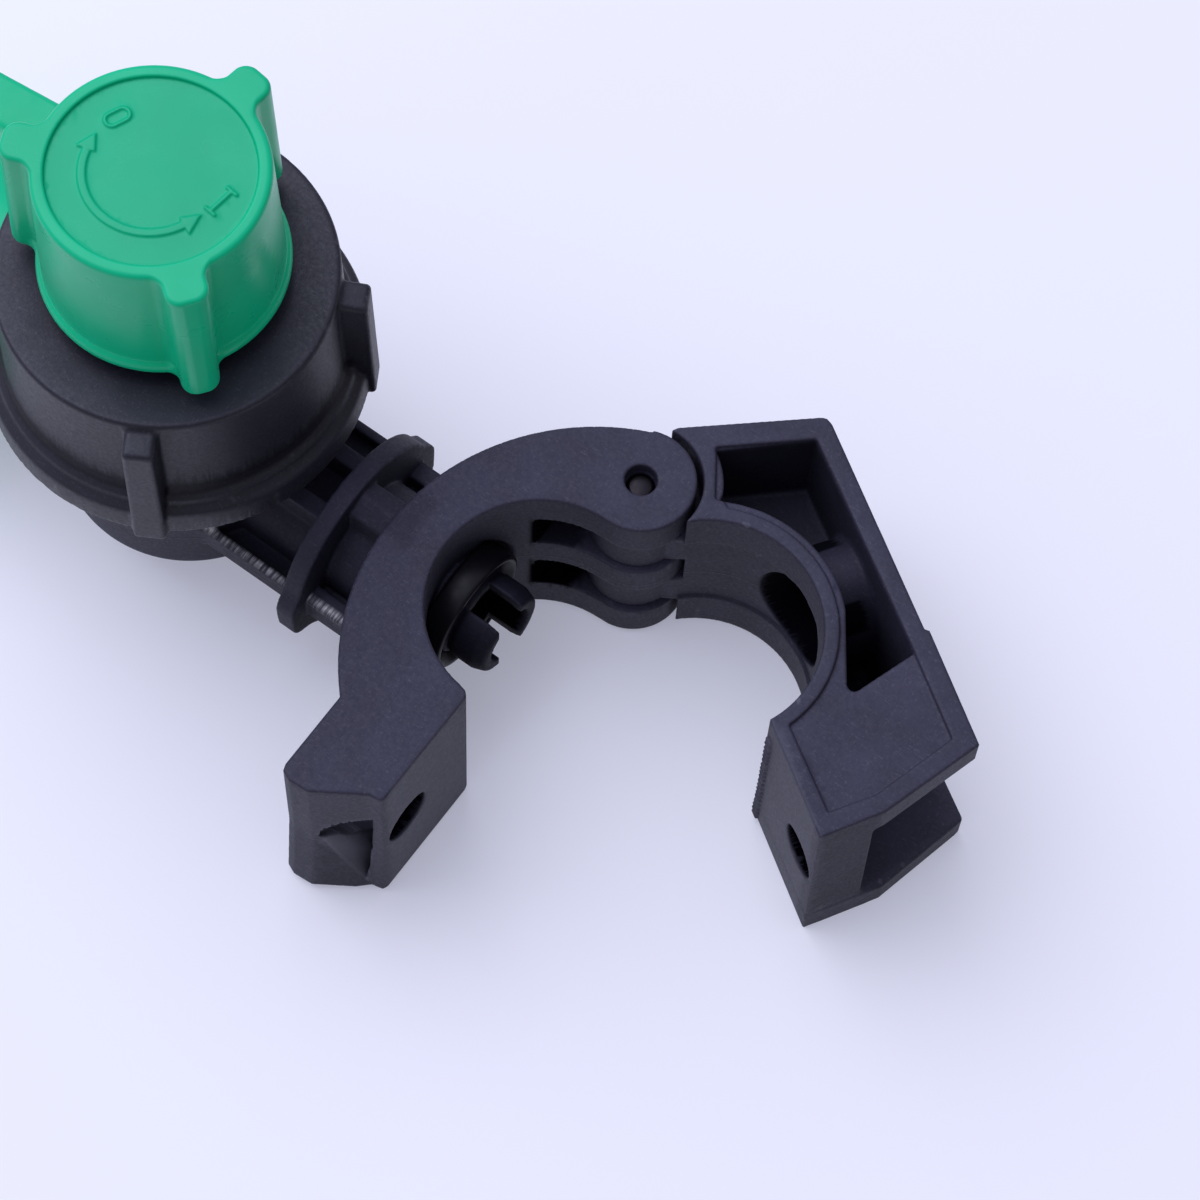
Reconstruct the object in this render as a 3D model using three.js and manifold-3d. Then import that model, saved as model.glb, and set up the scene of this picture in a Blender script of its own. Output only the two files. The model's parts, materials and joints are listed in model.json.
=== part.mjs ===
// Boom sprayer nozzle body: a hinged pipe clamp, a diaphragm check valve with a shut-off knob,
// and a bayonet nozzle cap with its strainer and spray tip. Millimetres, +Z up.
// The clamped pipe lies along Z, the flow runs from the pipe towards -X, and the valve stands on +Z.
// The clamp is drawn open, with no bolt in it, and the body lies on its side.

import * as THREE from 'three';
import { mergeVertices } from 'three/addons/utils/BufferGeometryUtils.js';
import Module from 'manifold-3d';

const wasm = await Module();
wasm.setup();

// ---------------------------------------------------------------- driving dimensions

const GAP = 0.3;                   // clearance left between pieces that touch
const RUN = 0.06;                  // radial clearance of a shaft in its hole
const ARC_STEP = 9;                // degrees between the points of a round edge

// Clamp
const WIDTH = 27;                  // of both jaws, along the pipe
const BORE_R = 12;                 // radius the jaws are moulded to, which nip a 25 mm pipe
const BORE_X = -0.68;              // centre of the fixed half bore, and its mating face
const KNUCKLE_R = 5.95;            // round end of the fixed jaw about the hinge
const OPEN_ANGLE = 56.8;           // degrees the hinged jaw stands open
const FINGER_Z = 5.4;              // height of each hinge finger above and below the middle
const FINGER_WIDTH = 5.6;
const SLOT_WIDTH = 6.0;            // gap in the knuckle that a finger turns in
const PIN_R = 1.5;
const BOLT_Y = -23;                // bolt axis in the fixed jaw, parallel with the flow
const BOLT_HOLE_R = 3.1;           // leaves an M5 bolt room to lean
const JAW_BOLT_Y = -22.1;          // and in the hinged jaw, which leans a little when it nips a pipe
const JAW_HOLE_R = 2.8;
const NUT_POCKET_R = 7.15;

// Neck
const NECK_R = 6.9;
const INLET_BORE_R = 3.3;
const SPIGOT_R = 4.75;
const SPIGOT_TIP_X = -4.3;
const SEAL_SEAT_R = 7.9;           // counterbore round the spigot's root for the seal
const SEAL_SEAT_X = -12;
const COLLAR_X = -26.3;            // face towards the valve
const COLLAR_WIDTH = 2.3;
const COLLAR_R = 11.6;
const RAIL_Y = 10.3;               // outer face of the two side rails
const COLLAR_EAR_Y = 12.3;         // of the collar, at the height of the rails

// Valve
const VALVE_X = -48.2;             // axis of the valve, parallel with Z
const CHAMBER_R = 14.5;
const CHAMBER_BOTTOM = -9;
const THREAD_R = 15.6;
const RIM_Z = 20;                  // top of the chamber, where the diaphragm sits
const SEAT_R = 5.6;
const NUT_BOTTOM = 14.5;
const NUT_TOP = 33.8;
const NUT_WALL_R = 17.75;
const NUT_BAND_R = 20.5;
const LUG_R = 20.9;                // tip of a lug
const LUG_FOOT_R = 21.3;
const LUG_WIDTH = 3.3;
const LUG_ANGLES = [30, 120, 210, 300];
const BARREL_R = 9.8;              // of the bonnet, through the nut and into the knob
const KNOB_BASE = 36.2;
const KNOB_TOP = 54.8;
const KNOB_BASE_R = 12.95;
const KNOB_RIM_R = 11.83;
const KNOB_DISC_R = 10.36;
const WING_ANGLES = [83, 203, 323];
const WING_WIDTH = 4.4;
const WING_TIP_R = 15.2;
const WING_FOOT_R = 16;
const SPINDLE_R = 5.2;

// Outlet
const OUTLET_R = 11.2;
const OUTLET_END = -81.8;
const OUTLET_BORE_R = 6;
const CAP_RIM_X = -71;             // open end of the cap, over the outlet
const CAP_FRONT_X = -94;
const CAP_TIP_R = 20.6;            // of the cap's two wings
const CAP_BODY_R = 15.6;
const CAP_WING_WIDTH = 4.6;
const TIP_X = -97.6;               // end of the spray tip

const HALF = WIDTH / 2;
const HINGE_X = BORE_X;
const HINGE_Y = BORE_R + KNUCKLE_R;

// ---------------------------------------------------------------- solids from three.js geometry

function solid(geometry) {
  const bare = geometry.index ? geometry.clone() : geometry;
  bare.deleteAttribute('normal');
  bare.deleteAttribute('uv');
  const merged = mergeVertices(bare, 1e-4);
  const mesh = new wasm.Mesh({
    numProp: 3,
    vertProperties: new Float32Array(merged.attributes.position.array),
    triVerts: new Uint32Array(merged.index.array),
  });
  return new wasm.Manifold(mesh);
}

function union(solids) {
  return solids.reduce((all, next) => all.add(next));
}

function cut(body, tools) {
  return tools.reduce((left, tool) => left.subtract(tool), body);
}

// Turns a geometry drawn along +Z to lie along +X, with its heights becoming X.
function alongX(geometry) {
  return geometry.rotateZ(Math.PI / 2).rotateY(Math.PI / 2);
}

function point(x, y) {
  return new THREE.Vector2(x, y);
}

function arc(cx, cy, radius, from, to, step = ARC_STEP) {
  const count = Math.max(2, Math.ceil(Math.abs(to - from) / step));
  const points = [];
  for (let i = 0; i <= count; i += 1) {
    const angle = THREE.MathUtils.degToRad(from + ((to - from) * i) / count);
    points.push(point(cx + radius * Math.cos(angle), cy + radius * Math.sin(angle)));
  }
  return points;
}

function prismGeometry(points, low, high) {
  const shape = new THREE.Shape(points);
  const geometry = new THREE.ExtrudeGeometry(shape, { depth: high - low, bevelEnabled: false });
  return geometry.translate(0, 0, low);
}

function prism(points, low, high) {
  return solid(prismGeometry(points, low, high));
}

function block(x0, x1, y0, y1, z0, z1) {
  const geometry = new THREE.BoxGeometry(x1 - x0, y1 - y0, z1 - z0);
  geometry.translate((x0 + x1) / 2, (y0 + y1) / 2, (z0 + z1) / 2);
  return solid(geometry);
}

// Turned about Z. The profile lists radius and height, anticlockwise seen with radius to the right.
function turnedGeometry(profile, sides) {
  const points = profile.map(([radius, height]) => point(radius, height));
  return new THREE.LatheGeometry(points, sides).rotateX(Math.PI / 2);
}

function turned(profile, sides, x = 0, y = 0) {
  return solid(turnedGeometry(profile, sides).translate(x, y, 0));
}

// Turned about X, with the profile's heights along +X.
function turnedX(profile, sides, y = 0, z = 0) {
  return solid(alongX(turnedGeometry(profile, sides)).translate(0, y, z));
}

function rodProfile(radius, low, high) {
  return [[0, low], [radius, low], [radius, high], [0, high]];
}

function ringProfile(inner, outer, low, high) {
  return [[inner, low], [outer, low], [outer, high], [inner, high], [inner, low]];
}

function rodZ(radius, low, high, sides, x = 0, y = 0) {
  return turned(rodProfile(radius, low, high), sides, x, y);
}

function rodX(radius, low, high, sides, y = 0, z = 0) {
  return turnedX(rodProfile(radius, low, high), sides, y, z);
}

// A radial wing about the Z axis through (x, 0), from a prism drawn with radius along +X.
function radial(profile, width, degrees, x) {
  const shape = profile.map(([radius, height]) => point(radius, height));
  const geometry = prismGeometry(shape, -width / 2, width / 2).rotateX(Math.PI / 2);
  geometry.rotateZ(THREE.MathUtils.degToRad(degrees)).translate(x, 0, 0);
  return solid(geometry);
}

// ---------------------------------------------------------------- scene

const group = new THREE.Group();

function look(color, roughness, metalness = 0) {
  return new THREE.MeshStandardMaterial({ color, roughness, metalness });
}

const BLACK = '#2c2b35';
const GREEN = '#2fb28c';

function place(name, shape, material, parent = group) {
  const mesh = shape.getMesh();
  const geometry = new THREE.BufferGeometry();
  geometry.setAttribute('position', new THREE.BufferAttribute(mesh.vertProperties, 3));
  geometry.setIndex(new THREE.BufferAttribute(mesh.triVerts, 1));
  geometry.computeVertexNormals();
  const part = new THREE.Mesh(geometry, material);
  part.name = name;
  parent.add(part);
}

// ---------------------------------------------------------------- body moulding

const OUTER_X = 7.93;              // centre and radius of the fixed jaw's back
const OUTER_Y = -1.39;
const OUTER_R = 26.92;
const FLANGE_X = -11.1;            // outer face of the bolt flange

function fixedJaw() {
  const back = arc(OUTER_X, OUTER_Y, OUTER_R, 224.9, 114, 6);
  const knuckle = arc(HINGE_X, HINGE_Y, KNUCKLE_R, 113, -81, 10);
  const bore = arc(BORE_X, 0, BORE_R, 92, 270, 7);
  const flange = [
    point(BORE_X, -27), point(-2.2, -27.2), point(-7.4, -30.6), point(-9.7, -30.8),
    point(-10.85, -30.3), point(FLANGE_X, -29.6),
  ];
  const plate = prism([...back, ...knuckle, ...bore, ...flange], -HALF, HALF);
  const fingerPocket = [
    ...arc(HINGE_X, HINGE_Y, KNUCKLE_R + 0.5, 78, -100, 12),
    point(-8, 8), point(-8, 13.2), point(-6.4, 14.6),
  ];
  const tools = [
    rodX(BOLT_HOLE_R, -3.2, 1, 24, BOLT_Y, 0),
    rodX(NUT_POCKET_R, -18, -2.3, 28, BOLT_Y, 0),
    rodZ(PIN_R + RUN, -12, 15, 24, HINGE_X, HINGE_Y),
    rodZ(1.75, HALF - 1.6, 15, 24, HINGE_X, HINGE_Y),
    rodX(SEAL_SEAT_R, SEAL_SEAT_X, 0, 40),
  ];
  for (const side of [-1, 1]) {
    const low = side * FINGER_Z - SLOT_WIDTH / 2;
    const high = low + SLOT_WIDTH;
    tools.push(prism(fingerPocket, low, high));
    tools.push(rodZ(KNUCKLE_R + 0.5, low, high, 28, HINGE_X, HINGE_Y));
  }
  return cut(plate, tools);
}

// A block on the +Y or -Y side, between the two distances from the middle.
function sideBlock(side, x0, x1, near, far, z0, z1) {
  const edges = [side * near, side * far].sort((a, b) => a - b);
  return block(x0, x1, edges[0], edges[1], z0, z1);
}

// Tube from the pipe to the valve, its collar, rails and stiffening ribs.
function neck() {
  const pieces = [
    rodX(NECK_R, VALVE_X + 8, -17.2, 32),
    rodX(COLLAR_R, COLLAR_X, COLLAR_X + COLLAR_WIDTH, 40),
    rodX(SPIGOT_R, -20, SPIGOT_TIP_X, 24),
    rodX(9, -18.4, -16.4, 28),
  ];
  for (const side of [-1, 1]) {
    pieces.push(sideBlock(side, VALVE_X + 9, COLLAR_X + 0.5, RAIL_Y - 1.1, RAIL_Y, -2.4, 0.8));
    pieces.push(sideBlock(side, COLLAR_X + 1, -15.5, RAIL_Y - 2.3, RAIL_Y, -2.4, 1.3));
    pieces.push(sideBlock(side, -38, COLLAR_X + 0.5, 2.3, 4.3, -8.6, 8.6));
    pieces.push(sideBlock(side, COLLAR_X, COLLAR_X + COLLAR_WIDTH, 10, COLLAR_EAR_Y, -2.4, 0.8));
  }
  pieces.push(block(VALVE_X + 11, -17, -RAIL_Y + 0.5, RAIL_Y - 0.5, -2.4, -1.2));
  const roof = [
    point(-2.3, -9.7), point(0, -10.6), point(2.3, -9.7), point(2.3, 9.7), point(0, 10.6), point(-2.3, 9.7),
  ];
  const rib = new THREE.ExtrudeGeometry(new THREE.Shape(roof), { depth: 8.5, bevelEnabled: false });
  pieces.push(solid(alongX(rib.translate(0, 0, COLLAR_X + 1))));
  return union(pieces);
}

function chamber() {
  const profile = [
    [0, CHAMBER_BOTTOM], [CHAMBER_R - 3, CHAMBER_BOTTOM], [CHAMBER_R - 0.9, CHAMBER_BOTTOM + 0.9],
    [CHAMBER_R, CHAMBER_BOTTOM + 3], [CHAMBER_R, 14], [THREAD_R, 15.2], [THREAD_R, RIM_Z], [0, RIM_Z],
  ];
  return turned(profile, 44, VALVE_X);
}

// Outlet tube with the two bayonet lugs that hold the nozzle cap.
function outlet() {
  const lugRing = turnedX(ringProfile(OUTLET_R - 1, 12.6, -78, -75), 36);
  const lugs = lugRing.intersect(block(-79, -74, -4.5, 4.5, -20, 20));
  return union([rodX(OUTLET_R, OUTLET_END, VALVE_X, 36), lugs]);
}

function bodyTools() {
  const annulus = ringProfile(SEAT_R, 13, 3.6, RIM_Z + 1);
  return [
    rodX(INLET_BORE_R, VALVE_X + SEAT_R + 1, 0, 20),
    block(VALVE_X + SEAT_R + 0.6, VALVE_X + 11, -INLET_BORE_R, INLET_BORE_R, -1, 6),
    turned(annulus, 36, VALVE_X),
    rodZ(3.7, -3, RIM_Z + 1, 20, VALVE_X),
    rodX(3.7, VALVE_X - 14, VALVE_X + 2, 20),
    rodX(OUTLET_BORE_R, OUTLET_END - 1, -60.5, 24),
    block(-8.6, 0, -1.75, 1.75, -8, 8),
  ];
}

const body = cut(union([fixedJaw(), neck(), chamber(), outlet()]), bodyTools());
place('body', body, look(BLACK, 0.62));

// A cupped rubber washer round the spigot, whose lip bears on the pipe.
function inletSeal() {
  return turnedX([
    [4.95, SEAL_SEAT_X + GAP], [7.5, SEAL_SEAT_X + GAP], [7.3, -9.2], [6.9, -8.7], [6.4, -8.9],
    [4.95, -10.7], [4.95, SEAL_SEAT_X + GAP],
  ], 32);
}

place('inlet_seal', inletSeal(), look('#1d1d22', 0.4));

// ---------------------------------------------------------------- hinged jaw

// Drawn closed, about the hinge axis, and turned open by its group.
const hinge = new THREE.Group();
hinge.position.set(HINGE_X, HINGE_Y, 0);
hinge.rotation.z = THREE.MathUtils.degToRad(OPEN_ANGLE);
group.add(hinge);

const JAW_FACE_X = 2.1;            // mating face, and the wall behind it
const JAW_WALL_X = 8.6;
const JAW_BACK_X = 21.4;
const JAW_END_Y = -25.7;
const PLATE = 4.2;                 // thickness of the top and bottom plates at the bolt end
const RING_R = 14.4;               // outside of the pipe ring
const BACK_WALL_X = 18.9;          // inside of the back wall
const HINGE_CLEAR_R = 6.65;        // hollow round the knuckle
const RECESS = 0.4;

function jawOutline() {
  return [
    ...arc(0, 0, BORE_R, -80, 80, 7),
    ...arc(HINGE_X, HINGE_Y, HINGE_CLEAR_R, -64, 40, 12),
    point(5.2, 22.3), point(20.1, 18.2), point(20.75, 16.5), point(21, -8), point(JAW_BACK_X, -8.4),
    point(JAW_BACK_X, -21.8), point(9.5, -25.3), point(JAW_FACE_X, JAW_END_Y),
  ];
}

function jawWindow() {
  return [
    ...arc(0, 0, RING_R, -14, 64, 7),
    ...arc(HINGE_X, HINGE_Y, HINGE_CLEAR_R + 2.1, -30, 3, 12),
    point(18.4, 16), point(BACK_WALL_X, -10), point(11.4, -11.9),
  ];
}

function jawRecess() {
  return [
    ...arc(0, 0, RING_R - 0.8, -70, 62, 8),
    ...arc(0, 0, RING_R, 64, 66, 8),
    point(8.2, 18.8), point(18.4, 16), point(BACK_WALL_X, -10), point(18.9, -20.2), point(9.4, -23.2),
    point(3.95, -23.3), point(3.95, -13),
  ];
}

function finger(middle) {
  const outline = [
    ...arc(HINGE_X, HINGE_Y, 5.3, 62, 282, 14),
    point(2.9, 11.75), point(5.4, 11.7), point(7.1, 14.6), point(6.9, 18), point(5.4, 20.4),
  ];
  return prism(outline, middle - FINGER_WIDTH / 2, middle + FINGER_WIDTH / 2);
}

// An oval rod along X, at the middle of the pipe ring.
function ovalX(halfHeight, halfWidth, low, high) {
  const outline = arc(0, 0, 1, 0, 348, 15).map((p) => point(p.x * halfHeight, 2.6 + p.y * halfWidth));
  return solid(prismGeometry(outline, low, high).rotateY(Math.PI / 2));
}

function clampJaw() {
  const web = prism([
    ...arc(0, 0, BORE_R + 1, 38, 70, 8), point(8, 20), point(20, 17), point(20, 9.3),
  ], -1.2, 1.2);
  const socket = ovalX(9.3, 6.4, 10, 20);
  const hollow = ovalX(7.4, 5.1, 5, 17.6);
  const foot = prism([
    point(JAW_FACE_X, -14), point(JAW_FACE_X, JAW_END_Y - 0.4), point(9.5, -25.9), point(21.8, -22.4),
    point(21.8, -14),
  ], -HALF, -HALF + PLATE);
  const shell = union([prism(jawOutline(), -HALF, HALF), foot]);
  const lowPlate = block(0, 30, -14, -4, -HALF, -HALF + PLATE).intersect(shell);
  const window = prism(jawWindow(), -HALF - 1, HALF + 1);
  const filled = union([
    cut(shell, [window]), lowPlate, web.intersect(shell), socket.intersect(shell),
    finger(FINGER_Z), finger(-FINGER_Z),
  ]);
  const tools = [
    block(JAW_WALL_X, 30, -40, -13.8, -HALF + PLATE, HALF - PLATE),
    rodX(JAW_HOLE_R, 0, 10, 24, JAW_BOLT_Y, 0),
    hollow,
    turned(ringProfile(6, BORE_R + 0.35, -7.3, 7.3), 48),
    rodZ(PIN_R + RUN, -20, 20, 24, HINGE_X, HINGE_Y),
    prism(jawRecess(), HALF - RECESS, HALF + 1),
    prism(jawRecess(), -HALF - 1, -HALF + RECESS),
  ];
  return cut(filled, tools).translate([-HINGE_X, -HINGE_Y, 0]);
}

place('clamp_jaw', clampJaw(), look(BLACK, 0.6), hinge);
place('hinge_pin', rodZ(PIN_R, -11.6, HALF - 1.5, 24), look('#8c8a8f', 0.3, 1), hinge);

// ---------------------------------------------------------------- valve, on its own axis

function ringNut() {
  const wall = turned([
    [0, NUT_BOTTOM], [NUT_BAND_R, NUT_BOTTOM], [NUT_BAND_R - 0.2, 17.6], [19.6, 18.2], [19.2, 18.9],
    [18.5, 19.6], [18.2, 21], [NUT_WALL_R, NUT_TOP - 0.4], [NUT_WALL_R - 0.4, NUT_TOP], [0, NUT_TOP],
  ], 44, VALVE_X);
  const lugProfile = [
    [17, NUT_BOTTOM], [16.8, 33.4], [17.6, 33.2], [LUG_R - 0.7, 32.6], [LUG_R, 31.6], [LUG_FOOT_R, 14.4],
    [LUG_FOOT_R - 0.5, 13.7], [19.6, 13.7], [18.8, NUT_BOTTOM],
  ].reverse();
  const lugs = LUG_ANGLES.map((degrees) => radial(lugProfile, LUG_WIDTH, degrees, VALVE_X));
  return cut(union([wall, ...lugs]), [
    rodZ(THREAD_R + GAP, 10, 31, 40, VALVE_X),
    rodZ(BARREL_R + GAP, 30, NUT_TOP + 1, 32, VALVE_X),
  ]);
}

function bonnet() {
  const profile = [
    [8.6, 22.7], [15.4, 22.7], [15.4, 25], [13, 25.6], [13, 30.7], [BARREL_R, 30.7], [BARREL_R, 46.5],
    [SPINDLE_R + RUN, 46.5], [SPINDLE_R + RUN, 36.4], [8.6, 35.4], [8.6, 22.7],
  ];
  return turned(profile, 32, VALVE_X);
}

function diaphragm() {
  const profile = [
    [0, RIM_Z + GAP], [15.2, RIM_Z + GAP], [15.2, 22.3], [12.4, 22.3], [12, 21.6], [8.4, 21.6], [8, 22.3],
    [0, 22.3],
  ];
  return turned(profile, 32, VALVE_X);
}

function plunger() {
  const profile = [
    [0, 22.65], [7.6, 22.65], [7.6, 24.2], [5.4, 24.2], [4.4, 27.2], [0, 27.2],
  ];
  return turned(profile, 24, VALVE_X);
}

const SPRING_LOW = 25.1;
const SPRING_HIGH = 34.6;

function spring() {
  const turns = 4.5;
  const steps = turns * 12;
  const points = [];
  for (let i = 0; i <= steps; i += 1) {
    const angle = (2 * Math.PI * turns * i) / steps;
    const height = SPRING_LOW + ((SPRING_HIGH - SPRING_LOW) * i) / steps;
    points.push(new THREE.Vector3(6.6 * Math.cos(angle), 6.6 * Math.sin(angle), height));
  }
  const wire = new THREE.Shape(arc(0, 0, 0.55, 0, 300, 60));
  const path = new THREE.CatmullRomCurve3(points);
  const geometry = new THREE.ExtrudeGeometry(wire, { steps, bevelEnabled: false, extrudePath: path });
  return solid(geometry.translate(VALVE_X, 0, 0));
}

function spindle() {
  const profile = [
    [0, 30.1], [3, 30.1], [3.6, 31], [3.6, 36.6], [SPINDLE_R, 37.4], [SPINDLE_R, 44.6], [2.8, 45.2],
    [2.8, 51.2], [0, 51.2],
  ];
  return turned(profile, 32, VALVE_X);
}

function knob() {
  const cup = turned([
    [0, KNOB_BASE], [KNOB_BASE_R, KNOB_BASE], [KNOB_BASE_R, KNOB_BASE + 1], [12.35, KNOB_BASE + 1.7],
    [KNOB_RIM_R, KNOB_TOP - 0.3], [KNOB_RIM_R - 0.3, KNOB_TOP], [0, KNOB_TOP],
  ], 44, VALVE_X);
  const wingProfile = [
    [10, KNOB_BASE], [WING_FOOT_R, KNOB_BASE], [WING_FOOT_R, KNOB_BASE + 1], [WING_TIP_R, KNOB_TOP - 0.9],
    [WING_TIP_R - 0.8, KNOB_TOP], [10, KNOB_TOP],
  ];
  const wings = WING_ANGLES.map((degrees) => radial(wingProfile, WING_WIDTH, degrees, VALVE_X));
  const hollow = turned([
    [4.6, 30], [11.2, 30], [10.5, 52], [4.6, 52], [4.6, 30],
  ], 36, VALVE_X);
  return cut(union([cup, ...wings]), [
    hollow,
    rodZ(4.7, 30, 46, 24, VALVE_X),
    rodZ(2.8 + RUN, 40, 51.6, 32, VALVE_X),
    rodZ(KNOB_DISC_R, KNOB_TOP - 0.6, KNOB_TOP + 1, 40, VALVE_X),
  ]);
}

place('ring_nut', ringNut(), look(BLACK, 0.6));
place('valve_bonnet', bonnet(), look('#3a3a42', 0.55));
place('valve_diaphragm', diaphragm(), look('#222126', 0.8));
place('valve_plunger', plunger(), look('#d8d6cc', 0.5));
place('valve_spring', spring(), look('#b8b8bc', 0.3, 1));
place('knob_spindle', spindle(), look('#3a3a42', 0.5));
place('shutoff_knob', knob(), look(GREEN, 0.45));

// ---------------------------------------------------------------- nozzle end, along -X

function nozzleCap() {
  const shell = turnedX([
    [0, CAP_FRONT_X], [12.4, CAP_FRONT_X], [14, CAP_FRONT_X + 1.6], [CAP_BODY_R, CAP_RIM_X - 1.4],
    [CAP_BODY_R + 0.3, CAP_RIM_X], [0, CAP_RIM_X],
  ], 40);
  const wings = [];
  for (const side of [-1, 1]) {
    const shape = [
      point(CAP_FRONT_X + 0.6, side * 12), point(CAP_FRONT_X + 0.6, side * (CAP_TIP_R - 1)),
      point(CAP_FRONT_X + 1.6, side * (CAP_TIP_R - 0.4)), point(CAP_RIM_X - 2.4, side * (CAP_TIP_R + 1.2)),
      point(CAP_RIM_X - 1.2, side * (CAP_TIP_R + 0.6)), point(CAP_RIM_X - 1.2, side * 14.6),
    ];
    wings.push(prism(side > 0 ? shape.reverse() : shape, -CAP_WING_WIDTH / 2, CAP_WING_WIDTH / 2));
  }
  const tools = [
    rodX(OUTLET_R + GAP, -90.9, CAP_RIM_X + 1, 36),
    rodX(13, OUTLET_END - 1.2, -74.4, 36),
    rodX(6.4, CAP_FRONT_X - 1, -88, 28),
    block(-80, CAP_RIM_X + 1, -13, 13, -4.9, 4.9).intersect(rodX(13, -80, CAP_RIM_X + 1, 36)),
  ];
  return cut(union([shell, ...wings]), tools);
}

function strainerFrame() {
  const flange = turnedX(ringProfile(2.4, 8.6, OUTLET_END - 1.9, OUTLET_END - GAP), 24);
  const tube = turnedX(ringProfile(2.4, 4.1, OUTLET_END - 1.5, -61.5), 20);
  const tip = rodX(4.1, -62.6, -61.4, 20);
  return cut(union([flange, tube, tip]), [
    block(-79.4, -64, -1.3, 1.3, -9, 9),
    block(-79.4, -64, -9, 9, -1.3, 1.3),
  ]);
}

function sprayTip() {
  const profile = [
    [3, -90.6], [3, -86.5], [10.8, -86.5], [10.8, -90.6], [6, -90.6], [6, TIP_X], [3.6, TIP_X], [3.6, -92.6],
    [3, -92.6], [3, -90.6],
  ].reverse();
  const blank = turnedX(profile, 28);
  const flats = [block(-110, -95, 4.4, 9, -9, 9), block(-110, -95, -9, -4.4, -9, 9)];
  return cut(blank, flats);
}

function orificeInsert() {
  const blank = rodX(3.3, TIP_X + 0.3, -93, 24);
  return cut(blank, [
    rodX(1.6, -95.8, -92, 16),
    block(-100, TIP_X + 1.2, -0.4, 0.4, -9, 9),
    rodX(0.5, -100, -92, 8),
  ]);
}

place('nozzle_cap', nozzleCap(), look(GREEN, 0.45));
place('strainer_frame', strainerFrame(), look('#c9c7bd', 0.5));
place('strainer_mesh', turnedX(ringProfile(4.4, 5, -79.8, -63.4), 24), look('#a9abb0', 0.4, 1));
place('tip_gasket', turnedX(ringProfile(4.2, 9, -86.2, -84), 28), look('#1d1d22', 0.8));
place('spray_tip', sprayTip(), look('#2c62b8', 0.45));
place('orifice_insert', orificeInsert(), look('#e6e2da', 0.3));

// ---------------------------------------------------------------- origin

// The frame's origin is the middle of the whole part's footprint, at its lowest point.
const extent = new THREE.Box3().setFromObject(group, true);
const middle = extent.getCenter(new THREE.Vector3());
group.position.set(-middle.x, -middle.y, -extent.min.z);

export default group;
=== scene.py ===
"""Looks for the boom sprayer nozzle body: moulded black body and clamp, green knob and cap."""

import json
import math

import bmesh
import bpy
import numpy as np
from mathutils import Matrix, Vector


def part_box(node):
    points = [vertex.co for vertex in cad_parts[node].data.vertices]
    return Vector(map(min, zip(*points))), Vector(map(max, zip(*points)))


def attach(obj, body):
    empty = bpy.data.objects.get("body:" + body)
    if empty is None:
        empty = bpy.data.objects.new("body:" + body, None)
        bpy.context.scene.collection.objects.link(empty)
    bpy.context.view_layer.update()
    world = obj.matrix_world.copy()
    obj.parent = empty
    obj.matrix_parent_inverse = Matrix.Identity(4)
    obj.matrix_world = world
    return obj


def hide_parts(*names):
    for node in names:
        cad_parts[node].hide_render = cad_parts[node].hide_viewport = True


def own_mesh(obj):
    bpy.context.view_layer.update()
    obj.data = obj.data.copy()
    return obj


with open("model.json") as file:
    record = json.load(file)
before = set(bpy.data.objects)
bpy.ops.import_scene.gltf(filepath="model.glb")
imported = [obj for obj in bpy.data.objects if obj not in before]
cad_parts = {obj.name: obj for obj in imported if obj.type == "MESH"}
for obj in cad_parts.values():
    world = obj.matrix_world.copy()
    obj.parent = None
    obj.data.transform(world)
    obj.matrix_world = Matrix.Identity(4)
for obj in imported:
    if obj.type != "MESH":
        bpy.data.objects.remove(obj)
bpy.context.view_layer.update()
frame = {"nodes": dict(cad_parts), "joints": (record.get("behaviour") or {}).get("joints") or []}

# ------------------------------------------------------------------ places, in millimetres

# The shapes below are drawn in the moulding's own axes: the clamped pipe's axis is Z through the
# origin, the neck runs towards -X and the clamp's middle plane is Z 0. The frame's hinge joint
# says where that lies in the row.
HINGE = (-0.68, 17.95)
joints = {joint["name"]: joint for joint in frame["joints"]}
hinge_place = Vector(joints["clamp_hinge"]["pos_m"]) * 1000
SHIFT = hinge_place - Vector((HINGE[0], HINGE[1], 0))
OPEN_ANGLE = 56.8                 # the jaw is drawn shut and turned open by this

FINE = 1.0

HALF = 13.5                       # half the clamp's width
BORE_R = 12.0                     # of the clamped pipe's seat
BORE_X = -0.68                    # centre of the fixed half bore, and its mating face
KNUCKLE_R = 5.95                  # round end of the fixed jaw about the hinge
FINGER_Z = 5.4                    # height of each hinge finger above and below the middle
BOLT_Y = -23.0                    # in the fixed jaw
BOLT_HOLE_R = 3.05
NUT_POCKET_R = 7.15
JAW_BOLT_Y = -22.1                # in the hinged jaw
JAW_HOLE_R = 3.0
JAW_FACE_X = 2.1                  # mating face of the hinged jaw, and the wall behind it
JAW_WALL_X = 8.6
RING_R = 14.45                    # outside of the hinged jaw's pipe ring
SOCKET_Y = 2.6                    # middle of the oval socket in that ring

NECK_R = 6.9
INLET_BORE_R = 3.3
SPIGOT_R = 4.75
SEAL_SEAT_R = 7.9                 # counterbore round the spigot's root
SEAL_SEAT_X = -12
COLLAR_R = 11.6
COLLAR_X = (-26.3, -24.0)         # its two faces

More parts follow.
